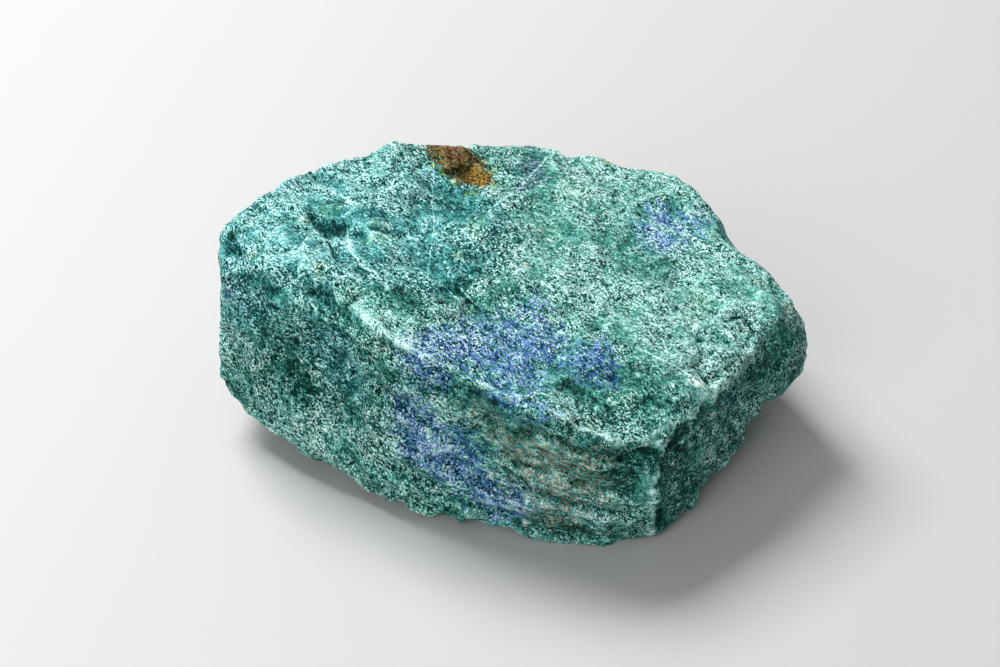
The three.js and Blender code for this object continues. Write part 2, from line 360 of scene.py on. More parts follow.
# %% Named forms
LINE_FORMS = {
    "scoop": ([(314, 220), (326, 229), (342, 228)], 0.75, -0.50),
    "groove": ([(327, 236), (334, 245), (338, 256)], 0.55, -0.5),
    "rust rim": ([(438, 150), (450, 151), (461, 152)], 1.2, 0.70),
    "arc": ([(348, 236), (354, 252), (365, 264), (378, 272)], 0.4, 0.18),
    "under the brow": ([(300, 296), (338, 313), (372, 340), (398, 362)], 2.2, -0.45),
    "left crest": ([(340, 296), (358, 313), (380, 331), (402, 345), (425, 360)], 0.6, 0.28),
    "right crest": ([(470, 378), (505, 396), (540, 409), (575, 424), (602, 438), (625, 451)], 0.7, 0.15),
    "lip": ([(602, 438), (625, 449), (645, 444), (662, 449)], 0.6, 0.15),
    "front corner": ([(657, 470), (652, 490), (652, 528)], 0.7, 0.30),
    "shoulder line": ([(648, 356), (680, 366), (700, 382), (716, 398)], 0.7, 0.22),
    "right edge crack": ([(708, 380), (722, 373), (734, 361)], 0.5, -0.45),
    "upper crack": ([(726, 320), (738, 315)], 0.45, -0.40),
    "middle crack": ([(744, 317), (754, 329)], 0.40, -0.35),
    "lower crack": ([(756, 333), (766, 329)], 0.40, -0.35),
    "crescent pit": ([(269, 306), (277, 311)], 0.35, -0.50),
    "left hollow line": ([(231, 236), (238, 252)], 0.6, -0.35),
}
PITS = [
    (296, 342), (276, 357), (305, 376), (295, 393), (442, 302), (612, 452), (700, 340), (470, 300),
    (520, 240),
]
CREST_PALE_REACH = 0.45
PIT_WIDTH = 0.35
PIT_DEPTH = 0.42
# A step is a line with a drop on one side: its pixels, the way the low side lies, the drop and its reach
STEPS = {
    "left of the teal scar": (
        [(415, 174), (420, 186), (412, 198), (416, 217)], (1.0, 0.0, 0.0), 0.25, 2.5
    ),
    "above the teal scar": ([(416, 197), (440, 199), (462, 203)], (0.0, -1.0, 0.0), 0.40, 2.5),
    "below the arc": ([(352, 279), (372, 276), (392, 270)], (0.2, -1.0, 0.0), 0.30, 2.0),
    "right of the middle": ([(560, 300), (568, 322), (575, 345)], (-1.0, 0.0, 0.0), 0.25, 2.0),
    "ledge on the right end": (
        [(672, 452), (690, 437), (705, 418), (724, 396), (752, 379)], (0.6, -0.3, -1.0), 0.45, 2.5
    ),
}
print("named forms:", len(LINE_FORMS), "lines,", len(PITS), "pits,", len(STEPS), "steps")

# %% Add up the named forms
forms = np.zeros(len(base))
crest_wear_and_highlight = np.zeros(len(base))
in_pits = np.zeros(len(base))
painted_groove_shade = np.zeros(len(base))
for pixels, width, height in LINE_FORMS.values():
    away = distance_to_path(pixels)
    forms += height * np.exp(-((away / width) ** 2))
    # Near a crest the rock is painted pale, partly as wear and partly as a painted highlight, and a
    # narrow groove gets painted shade
    if height > 0:
        crest_wear_and_highlight = np.maximum(crest_wear_and_highlight, np.exp(-((away / CREST_PALE_REACH) ** 2)))
    elif width < 1.0:
        depth_share = min(-height / 0.6, 1.0)
        painted_groove_shade = np.maximum(painted_groove_shade, depth_share * np.exp(-((away / width) ** 2)))
for pixel in PITS:
    in_pits = np.maximum(in_pits, np.exp(-((distance_to_path([pixel]) / PIT_WIDTH) ** 2)))
forms -= PIT_DEPTH * in_pits
for pixels, low_side, drop, run in STEPS.values():
    away = distance_to_path(pixels)
    stops = np.array([seen_at(p) for p in pixels])
    nearest_stop = stops[np.argmin(np.linalg.norm(base[:, None] - stops[None], axis=2), axis=1)]
    side = ease((base - nearest_stop) @ np.array(low_side), -0.4, 0.5)
    forms -= drop * side * np.exp(-((away / run) ** 2))
print("named forms, mm:", forms.min().round(2), "to", forms.max().round(2))

# %% Move the surface
SOLE_BAND = 0.8

above_sole = ease(base[:, 2], 0.05, SOLE_BAND)
height = (chip_strength * chip_relief + grain + bedding + forms) * above_sole
shaped = base + base_normals * height[:, None]
shaped[:, 2] = np.maximum(shaped[:, 2], 0.0)
shaped = np.where(above_sole[:, None] > 0, shaped, base)
shape_normals = normals_of(shaped)

# How far each point stands out of its surroundings, close by and farther off: above 0 on a crest
stands_out_near = np.einsum("ij,ij->i", shaped - smoothed(shaped, 4), shape_normals)
stands_out_far = np.einsum("ij,ij->i", shaped - smoothed(shaped, 40), shape_normals)
print("stands out near, mm:", np.percentile(stands_out_near, [2, 50, 98]).round(3))
print("stands out far, mm:", np.percentile(stands_out_far, [2, 50, 98]).round(3))

# %% [markdown]
# ## Where the minerals lie
# Malachite is the green, azurite the blue, and iron has stained one spot brown and orange. Their
# borders are ragged, but each keeps to its own part of the stone. A paint brush on the mesh would do,
# and so would spheres in the shader. Here each mineral has a weight at every point of the fine mesh,
# made of a few soft round dabs, and the shader breaks up the borders later. A dab is a pixel and a
# radius in mm.

# %% Weights for each mineral
PATCHES = {
    "azurite": [
        (430, 338, 1.6, 0.8), (450, 345, 2.0, 1.0), (480, 350, 2.4, 1.0), (510, 355, 2.4, 1.0),
        (540, 355, 1.8, 0.9), (480, 328, 1.8, 0.8), (512, 332, 1.8, 0.9), (545, 335, 1.8, 0.8),
        (520, 312, 1.4, 0.6), (545, 310, 1.3, 0.6), (500, 378, 1.6, 0.8), (530, 380, 1.4, 0.7),
        (418, 352, 1.3, 0.8), (583, 352, 1.2, 0.7), (598, 365, 1.7, 0.9), (600, 346, 1.2, 0.7),
        (608, 382, 1.2, 0.7), (582, 372, 1.2, 0.6), (538, 294, 1.2, 0.5), (408, 366, 1.4, 0.8),
        (424, 374, 1.4, 0.9), (440, 380, 1.1, 0.7), (415, 400, 1.6, 0.6), (525, 402, 1.7, 0.7),
        (545, 408, 1.3, 0.6), (505, 398, 1.2, 0.6), (410, 425, 1.6, 0.8), (428, 432, 1.8, 0.9),
        (412, 445, 1.6, 0.9), (432, 452, 2.0, 1.0), (450, 462, 1.8, 0.9), (455, 440, 1.6, 0.7),
        (472, 480, 1.8, 0.8), (488, 498, 1.6, 0.8), (500, 512, 1.4, 0.8), (480, 455, 1.4, 0.5),
        (400, 410, 1.5, 0.5), (520, 500, 1.4, 0.5), (648, 232, 1.5, 0.9), (662, 245, 1.6, 0.9),
        (680, 240, 1.4, 0.8), (690, 228, 1.5, 0.7), (665, 218, 1.4, 0.7), (700, 215, 1.3, 0.5),
        (655, 205, 1.2, 0.5), (232, 295, 1.2, 0.6),
    ],
    "teal": [
        (300, 200, 6.0), (380, 190, 5.5), (290, 240, 6.0), (350, 240, 5.0), (430, 230, 4.5),
        (450, 210, 4.0), (340, 350, 3.0), (350, 370, 2.6), (250, 260, 4.0), (400, 260, 4.5),
        (440, 265, 3.5), (430, 180, 3.0), (735, 395, 2.0), (240, 305, 2.2),
    ],
    "brown": [
        (520, 455, 2.4, 0.5), (555, 470, 2.8, 0.65), (590, 470, 2.4, 0.5), (560, 495, 2.2, 0.5),
        (600, 490, 2.0, 0.4), (500, 440, 2.2, 0.5), (540, 440, 1.8, 0.4), (490, 405, 1.8, 0.5),
        (580, 455, 1.8, 0.4), (545, 520, 1.8, 0.5), (575, 525, 1.6, 0.5), (500, 495, 2.2, 0.4),
        (470, 415, 1.8, 0.4), (320, 320, 1.8, 0.25), (385, 345, 1.2, 0.3),
    ],
    "dusty_blue": [
        (500, 500, 2.4, 0.7), (530, 510, 2.4, 0.7), (560, 505, 2.0, 0.6), (590, 515, 1.8, 0.5),
        (475, 475, 1.8, 0.6),
    ],
    "rust": [
        (434, 150, 0.9), (444, 152, 1.1), (455, 158, 1.3), (465, 165, 1.3), (474, 172, 1.2),
        (481, 180, 1.0), (461, 152, 0.6), (470, 159, 0.6), (447, 164, 0.9), (456, 171, 0.9),
        (464, 179, 0.7),
    ],
    "orange": [(470, 179, 0.7), (477, 183, 0.8), (484, 181, 0.8), (482, 173, 0.7), (475, 171, 0.5)],
    "pink": [(447, 152, 0.7), (454, 155, 0.8), (461, 159, 0.7)],
    "yellow_green": [
        (600, 157, 0.4), (607, 159, 0.5), (614, 161, 0.5), (621, 164, 0.5), (492, 172, 0.5),
        (493, 184, 0.5), (474, 191, 0.35), (465, 192, 0.3), (455, 180, 0.5), (443, 171, 0.5),
        (433, 163, 0.4),
    ],
    "leaf": [
        (318, 268, 1.0), (345, 290, 1.0), (252, 256, 0.8), (392, 236, 0.7), (300, 222, 0.8),
        (321, 209, 0.9), (331, 214, 0.8), (337, 203, 0.8), (372, 226, 0.8), (381, 240, 0.7),
        (368, 240, 0.7), (480, 222, 1.0), (475, 232, 1.0), (460, 255, 0.9), (575, 190, 1.8),
        (545, 230, 1.8), (700, 300, 1.5), (690, 318, 1.4), (625, 395, 1.4), (590, 425, 0.9),
        (572, 440, 0.7), (625, 470, 0.8), (610, 500, 0.8),
    ],
    "slate": [
        (522, 164, 0.9), (530, 168, 1.0), (536, 162, 0.9), (528, 182, 1.0), (520, 186, 0.7),
        (538, 176, 0.7),
    ],
    "cream": [
        (748, 273, 0.6), (755, 279, 0.6), (762, 285, 0.5), (783, 306, 0.5), (787, 312, 0.6),
        (690, 382, 0.6), (697, 386, 0.6), (640, 446, 0.5), (350, 202, 0.4), (380, 202, 0.4),
        (320, 411, 0.4), (326, 430, 0.4), (490, 475, 0.5), (498, 473, 0.4), (525, 522, 0.5),
        (550, 525, 0.4), (653, 528, 0.4), (658, 468, 0.5), (348, 274, 0.4), (524, 268, 0.5),
    ],
}
weights = {name: weight_of(dabs) for name, dabs in PATCHES.items()}
# The hidden sides are a guess: the azurite and the brown go on there in a few weaker spots
HIDDEN_AZURITE = [
    ((-9.0, 22.0, 9.0), 3.0, 0.8), ((-5.0, 22.0, 6.0), 2.4, 0.7), ((14.0, 18.0, 12.0), 2.6, 0.7),
]
HIDDEN_BROWN = [((6.0, 22.0, 5.0), 4.0, 0.45), ((-20.0, 12.0, 6.0), 3.0, 0.4)]
for name, values in weights.items():
    print(name, "covers", round(float((values > 0.5).mean()), 3), "of the surface")

# %% [markdown]
# ## Pale and dark
# One number at each point says how pale the rock is there, before the crystals are added. Besides the
# rock's own paler and darker tones, it holds painted highlights and painted shade. It could be painted
# by hand, or worked out in the shader again and again. Here it is worked out once for each point,
# because it changes slowly and the render stays quick. First come a cloudy noise, drawn out along the
# grain of the rock, and the pale and dark bands of the bedding.

# %% Clouds and bands


def cloud(size, offset, octaves=3, fall=0.7):
    """A noise of several octaves, from about -0.5 to 0.5, whose largest lumps are size mm across."""
    total = np.zeros(len(base))
    for octave in range(octaves):
        total += fall**octave * noise_field(foliated, size / 2**octave, offset + 7.3 * octave)
    return 0.6 * total


foliation = np.array([0.59, -0.68, -0.43]) / np.linalg.norm([0.59, -0.68, -0.43])
squeezed = 0.6 * (base @ BEDDING_NORMAL)[:, None] * BEDDING_NORMAL
stretched = 0.25 * (base @ foliation)[:, None] * foliation
foliated = base + squeezed - stretched
layer_points = np.stack([along_growth / 0.42, base[:, 0] / 5.0, base[:, 1] / 5.0], 1)
bands = bedded * (noise_field(layer_points, 1.0, 61.0) + 0.6 * noise_field(layer_points, 0.5, 67.0))
print("bands:", np.percentile(bands, [2, 50, 98]).round(2))

# %% [markdown]
# ## Edges: wear, painted highlight and painted shade
# Where two faces meet, the upper side is painted pale, partly as wear and partly as a painted highlight,
# and the lower side gets painted shade. That contrast makes an edge look sharp. Each edge has its
# pixels, with the pale side on the left of the way they run, and how pale and how dark its two sides are.

# %% Edges
# Each edge's pale side is wear and a painted highlight together, and its dark side is painted shade
EDGES = {
    "left of the brow": ([(228, 276), (250, 266), (280, 260), (305, 271)], 0.12, 0.06),
    "brow": ([(305, 271), (322, 286), (345, 304), (367, 323), (397, 344), (420, 356)], 0.15, 0.13),
    "right of the brow": (
        [(420, 356), (440, 367), (465, 377), (497, 391), (540, 407), (590, 431)], 0.18, 0.16
    ),
    "lip": ([(590, 431), (615, 447), (640, 444), (662, 449)], 0.22, 0.20),
    "front corner": ([(653, 527), (652, 484), (658, 474), (666, 449)], 0.22, 0.24),
    "right end": ([(666, 449), (680, 425), (704, 408), (716, 396), (740, 375), (755, 364)], 0.24, 0.26),
}
EDGE_PALE_WIDTH = 0.6
EDGE_DARK_WIDTH = 1.4
edge_shade = np.zeros(len(base))
edge_wander = 0.35 * noise_field(base, 1.5, 131.0) + 0.2 * noise_field(base, 0.7, 137.0)
for pixels, pale, dark in EDGES.values():
    away, signed = sides_of_path(pixels)
    upper_side = ease(signed + edge_wander, -0.15, 0.15)
    # The pale side is partly wear and partly a painted highlight; the dark side is painted shade
    pale_side = pale * upper_side * np.exp(-((away / EDGE_PALE_WIDTH) ** 2))
    dark_side = dark * (1.0 - upper_side) * np.exp(-((away / EDGE_DARK_WIDTH) ** 2))
    edge_shade += pale_side - dark_side
print("edges:", edge_shade.min().round(2), "to", edge_shade.max().round(2))

# %% [markdown]
# ## One number for the shade
# Now the effects are added up: dabs of paler and darker rock, which also paint highlights and shade,
# edges, bright crystals with painted glints, painted shade in pits and grooves, crests paler from wear
# and painted highlight, hollows in painted shade, faces turned up painted paler as light from above, a
# tone for every chip, and the rubbed rims of chips. Each share says how far its effect moves the tone,
# on a scale from about 0 for dark mineral to 1 for powdery white.

# %% Shade
# Paler dabs: paler rock, and on the crests, the lip and the lit top also painted highlights
PALE = [
    (260, 220, 3.5, 0.6), (300, 240, 3.0, 0.6), (285, 258, 2.4, 0.6), (330, 180, 3.0, 0.5),
    (380, 165, 3.0, 0.5), (405, 200, 2.0), (345, 252, 2.2, 0.6), (400, 240, 2.5, 0.8),
    (430, 228, 2.0), (455, 232, 2.0), (440, 445, 3.0, 0.5), (560, 160, 3.0), (620, 172, 3.5),
    (660, 180, 3.5), (600, 195, 3.5), (575, 235, 3.5), (600, 290, 4.0), (660, 300, 4.5),
    (720, 290, 4.5), (750, 300, 4.0), (700, 345, 4.0), (700, 375, 2.4), (712, 388, 1.6),
    (660, 350, 2.4), (540, 260, 2.5), (372, 325, 1.6), (400, 345, 1.5), (360, 310, 1.4),
    (420, 356, 1.0), (520, 400, 0.8, 0.5), (560, 418, 0.9, 0.5), (600, 436, 1.0, 0.6),
    (630, 442, 1.2, 0.7), (655, 440, 1.2, 0.7), (675, 425, 1.2), (652, 505, 0.9), (652, 485, 0.9),
    (345, 465, 1.8, 0.6), (320, 440, 2.2, 0.5), (340, 420, 1.8, 0.5), (300, 430, 2.0, 0.5),
    (700, 455, 1.0), (570, 505, 1.6), (450, 440, 2.5, 0.5), (500, 470, 3.0, 0.4),
    (672, 232, 2.8, 0.6), (555, 485, 3.2, 0.5),
]
# Darker dabs: darker rock such as the teal scar, and painted shade under the brow and the lip, on the
# front face and on the right end, which face away from the light
DARK = [
    (455, 260, 3.4), (440, 285, 2.6), (410, 290, 2.2), (470, 215, 2.6), (430, 205, 2.0),
    (375, 280, 1.8), (370, 215, 1.4), (325, 225, 1.4), (630, 385, 2.6, 0.5), (600, 405, 2.0, 0.6),
    (650, 410, 1.8, 0.5), (620, 360, 1.6, 0.5), (665, 385, 2.0, 0.6), (490, 245, 2.4),
    (600, 230, 2.0), (640, 270, 2.0), (530, 165, 2.0), (660, 200, 1.4), (464, 172, 0.8),
    (340, 325, 2.2, 0.5), (370, 350, 2.0, 0.6), (300, 340, 2.4, 0.8), (270, 330, 2.4),
    (390, 390, 1.8), (280, 370, 4.0, 0.7), (350, 390, 3.0, 0.6), (350, 345, 1.8, 0.5),
    (230, 245, 1.6), (240, 275, 1.4), (620, 465, 1.6), (640, 460, 1.4), (680, 460, 2.0),
    (700, 435, 2.0), (730, 400, 2.0), (770, 360, 2.6), (790, 345, 2.0), (680, 500, 1.8),
]
# White crystals and powdery spots, and among them painted glints, each about a quarter of a millimetre
# across
BRIGHT_FLECKS_AND_GLINTS = [
    (351, 202), (389, 310), (349, 275), (294, 300), (256, 332), (292, 191), (484, 245), (470, 242),
    (446, 261), (457, 297), (372, 270), (386, 287), (482, 292), (515, 274), (524, 271), (542, 282),
    (552, 294), (554, 304), (550, 319), (560, 330), (497, 316), (462, 336), (301, 360), (317, 412),
    (324, 430), (405, 346), (421, 357), (681, 443), (714, 420), (638, 373), (675, 398), (750, 349),
    (596, 407), (608, 400), (614, 402), (455, 420), (490, 474), (524, 522), (330, 250),
]
fleck_and_glint_spots = weight_of([(x, y, 0.22) for x, y in BRIGHT_FLECKS_AND_GLINTS])

rubbed = ease(cloud(1.6, 71.0), -0.1, 0.2)
shade = (
    # paler and darker rock, with painted highlights and painted shade
    0.15 * (weight_of(PALE) - weight_of(DARK))
    # edges: wear, painted highlight and painted shade
    + edge_shade
    # bright crystals, partly painted glints
    + 0.60 * fleck_and_glint_spots
    # painted shade in the pits
    - 0.50 * in_pits
    # crests paler from wear and painted highlight, hollows darker as painted shade
    + 0.12 * np.clip(stands_out_near / 0.08, -1, 1)
    + 0.08 * np.clip(stands_out_far / 0.35, -1, 1)
    # crests paler: wear and painted highlight
    + 0.08 * crest_wear_and_highlight
    # painted shade in the grooves
    - 0.12 * painted_groove_shade
    # faces turned up painted paler, as painted light from above
    + 0.06 * ease(base_normals[:, 2], 0.1, 0.8)
    + 0.07 * chip_sets["middle"]["tone"]
    + 0.11 * chip_sets["small"]["tone"]
    + rubbed * (0.06 * chip_sets["middle"]["rim"] + 0.14 * chip_sets["small"]["rim"])
    + 0.16 * chip_strength * cloud(2.2, 83.0)
    + 0.16 * bands
    + 0.35 * behind * cloud(9.0, 151.0)
)
print("shade:", np.percentile(shade, [2, 50, 98]).round(2))

# %% [markdown]
# ## How speckled the rock is
# Some flats are solid malachite of an even deep colour, and others are all salt and pepper. Another
# number says how strongly the crystals show at each point. It differs from chip to chip, and a few
# smooth patches are listed.

# %% Speckle
SMOOTH_PATCHES = [
    (380, 214, 0.8), (368, 228, 0.9), (386, 235, 0.6), (425, 208, 1.4), (445, 215, 1.6),
    (435, 225, 1.2), (330, 211, 1.2), (479, 221, 0.9), (432, 236, 0.7), (415, 250, 1.3),
    (328, 226, 0.9), (343, 227, 0.6), (325, 300, 1.4), (345, 315, 1.2), (358, 324, 1.0),
    (300, 262, 0.8), (468, 205, 1.2), (625, 385, 1.6, 0.6), (650, 410, 1.4, 0.6),
    (592, 402, 1.2, 0.5), (700, 440, 2.0, 0.4), (730, 410, 2.0, 0.4), (770, 370, 2.0, 0.4),
]
speckle = 0.80 + 0.5 * (chip_sets["middle"]["kind"] - 0.5) + 0.5 * (chip_sets["small"]["kind"] - 0.5)
speckle = np.clip(speckle + 1.0 * cloud(4.5, 97.0), 0.3, 1.2)
speckle = np.maximum(speckle, 0.75 * weights["azurite"]) * (1.0 + 0.12 * weights["teal"])
speckle *= (1.0 - 0.35 * weights["brown"]) * (1.0 - 0.25 * front)
speckle *= 1.0 - 0.6 * weight_of(SMOOTH_PATCHES)
print("speckle:", np.percentile(speckle, [2, 50, 98]).round(2))

# %% All the values that the shader reads
hidden_azurite = weight_of_spots(HIDDEN_AZURITE)
hidden_brown = weight_of_spots(HIDDEN_BROWN)
weights["azurite"] = np.maximum(weights["azurite"], hidden_azurite)
weights["brown"] = np.maximum(weights["brown"], hidden_brown)
weights["shade"] = shade
weights["speckle"] = speckle
weights["chipped"] = chip_strength
net_places = ease(cloud(3.0, 113.0), -0.25, 0.15)
weights["netted"] = np.clip(net_places * (0.35 + 0.65 * chip_strength), 0.0, 1.0)
print("values at each point:", ", ".join(weights))

# %% [markdown]
# ## Veins and cracks
# Thin white veins cross the stone, pale lines along some crests are painted highlights, and cracks and
# grooves are drawn as dark lines of painted shade. All are only a tenth of a millimetre wide, which is
# finer than the mesh. So the mesh doesn't hold a line itself but each point's distance to the nearest
# line, with a sign for its side, and how pale the line is, which fades to 0 half a millimetre away.
# Distances blend evenly between points, and the shader draws the line where they pass through zero.
# Lines that meet are kept in different sets.

# %% Distances to the lines
LINE_ZONE = 0.5
# Lines above 0 are white veins, and those along the brow, the right crest and the shoulder are also
# painted highlights; lines below 0 are painted shade in cracks, a groove and a pit
LINE_SETS = {
    "first_lines": [
        ([(434, 160), (433, 190), (434, 225), (431, 250), (428, 275)], 0.34),
        ([(547, 158), (530, 176), (515, 190), (495, 206), (476, 219)], 0.45),
        ([(347, 228), (348, 243), (354, 256), (364, 266), (379, 274)], 0.45),
        ([(697, 285), (698, 312), (696, 332)], 0.30),
        ([(540, 404), (560, 417), (585, 428), (606, 440)], 0.40),
        ([(332, 190), (344, 197), (355, 204), (370, 200), (385, 200)], 0.32),
        ([(289, 190), (294, 204), (301, 219), (311, 222)], 0.28),
        ([(395, 345), (410, 352), (428, 361), (445, 371)], 0.35),
        ([(704, 377), (710, 381), (716, 379)], -0.50),
        ([(269, 306), (273, 310), (277, 311)], -0.50),
    ],
    "second_lines": [
        ([(434, 245), (446, 247), (455, 253), (463, 260)], 0.40),
        ([(640, 349), (660, 361), (682, 371), (702, 387)], 0.40),
        ([(345, 276), (356, 279), (367, 280), (376, 273)], 0.32),
        ([(326, 235), (333, 245), (338, 256)], -0.50),
        ([(726, 320), (738, 315)], -0.45),
        ([(744, 317), (754, 329)], -0.45),
        ([(460, 285), (466, 294), (474, 301)], 0.30),
        ([(546, 288), (552, 303), (560, 318)], 0.35),
        ([(448, 289), (455, 297), (461, 307)], 0.30),
        ([(520, 281), (527, 291)], 0.30),
        ([(533, 317), (545, 331)], 0.30),
        ([(504, 329), (518, 344)], 0.28),
    ],
}


def line_field(lines):
    """For each point, its signed distance to the nearest line in mm, and how pale that line is here."""
    nearest = np.full(len(base), np.inf)
    signed = np.zeros(len(base))
    paleness = np.zeros(len(base))
    for pixels, pale in lines:
        away, side = sides_of_path(pixels)
        closer = away < nearest
        nearest = np.where(closer, away, nearest)
        signed = np.where(closer, side, signed)
        paleness = np.where(closer, pale, paleness)
    paleness *= 1.0 - ease(nearest, 0.6 * LINE_ZONE, LINE_ZONE)
    return np.stack([signed, paleness, np.zeros(len(base))], 1)


line_fields = {name: line_field(lines) for name, lines in LINE_SETS.items()}
for name, field in line_fields.items():
    print(name, "are near", int((np.abs(field[:, 1]) > 0.1).sum()), "points")

# %% Put the shape and the weights on the mesh
fine_mesh.vertices.foreach_set("co", (shaped * METRES).astype(np.float32).ravel())
for name, values in weights.items():
    attribute = fine_mesh.attributes.new(name, "FLOAT", "POINT")
    attribute.data.foreach_set("value", values.astype(np.float32))
for name, field in line_fields.items():
    attribute = fine_mesh.attributes.new(name, "FLOAT_VECTOR", "POINT")
    attribute.data.foreach_set("vector", field.astype(np.float32).ravel())
fine_mesh.update()
for polygon in fine_mesh.polygons:
    polygon.use_smooth = True

# %% [markdown]
# ## Shader helpers
# The same few effects are used for every mineral: a grain, a range of four tones, and a ragged
# border. Each is a node group with named sockets, built once. A group gives out only colours and
# values.

# %% Node helpers


def new_group(name, inputs, outputs):
    """A shader node group with float, vector or colour sockets, and its input and output nodes."""
    group = bpy.data.node_groups.new(name, "ShaderNodeTree")
    kinds = {"value": "NodeSocketFloat", "vector": "NodeSocketVector", "colour": "NodeSocketColor"}
    for socket_name, kind, default in inputs:
        socket = group.interface.new_socket(socket_name, in_out="INPUT", socket_type=kinds[kind])
        if default is not None:
            socket.default_value = default
    for socket_name, kind in outputs:
        group.interface.new_socket(socket_name, in_out="OUTPUT", socket_type=kinds[kind])
    return group, group.nodes.new("NodeGroupInput"), group.nodes.new("NodeGroupOutput")


def put(tree, target, value):
    """Links an output to a socket, or sets the socket to a plain value."""
    if isinstance(value, bpy.types.NodeSocket):
        tree.links.new(value, target)
    else:
        target.default_value = value


def math_node(tree, operation, a, b=0.0):
    node = tree.nodes.new("ShaderNodeMath")
    node.operation = operation
    put(tree, node.inputs[0], a)
    put(tree, node.inputs[1], b)
    return node.outputs[0]


def mix_colours_socket(node, name):
    return [s for s in node.inputs if s.name == name and s.type == "RGBA"][0]


def remap(tree, value, low, high, to_low=0.0, to_high=1.0, smooth=False):
    node = tree.nodes.new("ShaderNodeMapRange")
    node.interpolation_type = "SMOOTHSTEP" if smooth else "LINEAR"
    socket_names = ("Value", "From Min", "From Max", "To Min", "To Max")
    for socket_name, amount in zip(socket_names, (value, low, high, to_low, to_high)):
        put(tree, node.inputs[socket_name], amount)
    return node.outputs["Result"]


def noise_node(tree, vector, scale, detail, roughness):
    node = tree.nodes.new("ShaderNodeTexNoise")
    put(tree, node.inputs["Vector"], vector)
    put(tree, node.inputs["Scale"], scale)
    put(tree, node.inputs["Detail"], detail)
    put(tree, node.inputs["Roughness"], roughness)
    return node


def use_group(tree, group, **inputs):
    node = tree.nodes.new("ShaderNodeGroup")
    node.node_tree = group
    for socket_name, value in inputs.items():
        put(tree, node.inputs[socket_name.replace("_", " ")], value)
    return node


def colour(red, green, blue):
    """A colour as a painter reads it off, from 0 to 255, turned into the linear values of shaders."""
    shares = [c / 255 for c in (red, green, blue)]
    linear = [c / 12.92 if c <= 0.04045 else ((c + 0.055) / 1.055) ** 2.4 for c in shares]
    return (*linear, 1.0)


# %% [markdown]
# ## Chips too small for the mesh
# The mesh holds chips down to about a millimetre. Below that the shader goes on in the same way: a
# Voronoi texture parts space into cells, the random colour of a cell is its tilt, and the height is
# the plane of the cell. Far from a cell's middle lies its border, where rock is broken and rubbed, so
# that is given out too.

# %% Chip group
chip_group, chip_in, chip_out = new_group(
    "rock_chips",
    [("Vector", "vector", None), ("Size", "value", 1.0)],
    [("Height", "value"), ("Tone", "value"), ("Rim", "value")],
)


def vector_node(tree, operation, a, b=None, scale=None):
    node = tree.nodes.new("ShaderNodeVectorMath")
    node.operation = operation
    put(tree, node.inputs[0], a)
    if b is not None:
        put(tree, node.inputs[1], b)
    if scale is not None:
        put(tree, node.inputs["Scale"], scale)
    return node.outputs["Value" if operation == "DOT_PRODUCT" else "Vector"]


def parted(tree, socket):
    node = tree.nodes.new("ShaderNodeSeparateColor")
    put(tree, node.inputs["Color"], socket)
    return node.outputs["Red"], node.outputs["Green"]


tree = chip_group
HALF = (0.5, 0.5, 0.5)
one_over_size = math_node(tree, "DIVIDE", 1.0, chip_in.outputs["Size"])
in_cells = vector_node(tree, "SCALE", chip_in.outputs["Vector"], scale=one_over_size)
cells = tree.nodes.new("ShaderNodeTexVoronoi")
put(tree, cells.inputs["Vector"], in_cells)
put(tree, cells.inputs["Scale"], 1.0)
tilt = vector_node(tree, "SUBTRACT", cells.outputs["Color"], HALF)
off_middle = vector_node(tree, "SUBTRACT", in_cells, cells.outputs["Position"])
plane = vector_node(tree, "DOT_PRODUCT", tilt, off_middle)
put(tree, chip_out.inputs["Height"], math_node(tree, "MULTIPLY", plane, chip_in.outputs["Size"]))
put(tree, chip_out.inputs["Tone"], parted(tree, cells.outputs["Color"])[0])
put(tree, chip_out.inputs["Rim"], remap(tree, cells.outputs["Distance"], 0.55, 0.75, smooth=True))
print("chip group:", len(tree.nodes), "nodes")

# %% [markdown]
# ## Crystal grain
# Close up, the rock is salt and pepper: pale crystals and dark ones, a tenth to a quarter of a
# millimetre across. Painting them is hopeless and one noise is too cloudy. Here two sizes of cells
# each have a tone of their own, a few of them are quite white or black, and a finer noise fills in
# between.

# %% Grain group
FINE_MOTTLE_SHARE = 0.5
CRYSTAL_SHARE = 0.42
SPECK_SHARE = 1.04
WHITE_SHARE = 0.55
BLACK_SHARE = 0.42
SPECKS_TO_CRYSTALS = 0.5

grain_group, grain_in, grain_out = new_group(
    "crystal_grain",
    [("Vector", "vector", None), ("Crystal Size", "value", 0.3)],
    [("Grain", "value"), ("Fleck", "value")],
)


def random_cells(tree, vector, size):
    """Two random values that are the same all over a crystal."""
    cells = tree.nodes.new("ShaderNodeTexVoronoi")
    put(tree, cells.inputs["Vector"], vector)
    put(tree, cells.inputs["Scale"], math_node(tree, "DIVIDE", 1.0, size))
    return parted(tree, cells.outputs["Color"])


def share_of(tree, value, middle, share):
    return math_node(tree, "MULTIPLY", math_node(tree, "SUBTRACT", value, middle), share)


def sum_of(tree, parts, start=0.0):
    total = start
    for part in parts:
        total = math_node(tree, "ADD", part, total)
    return total


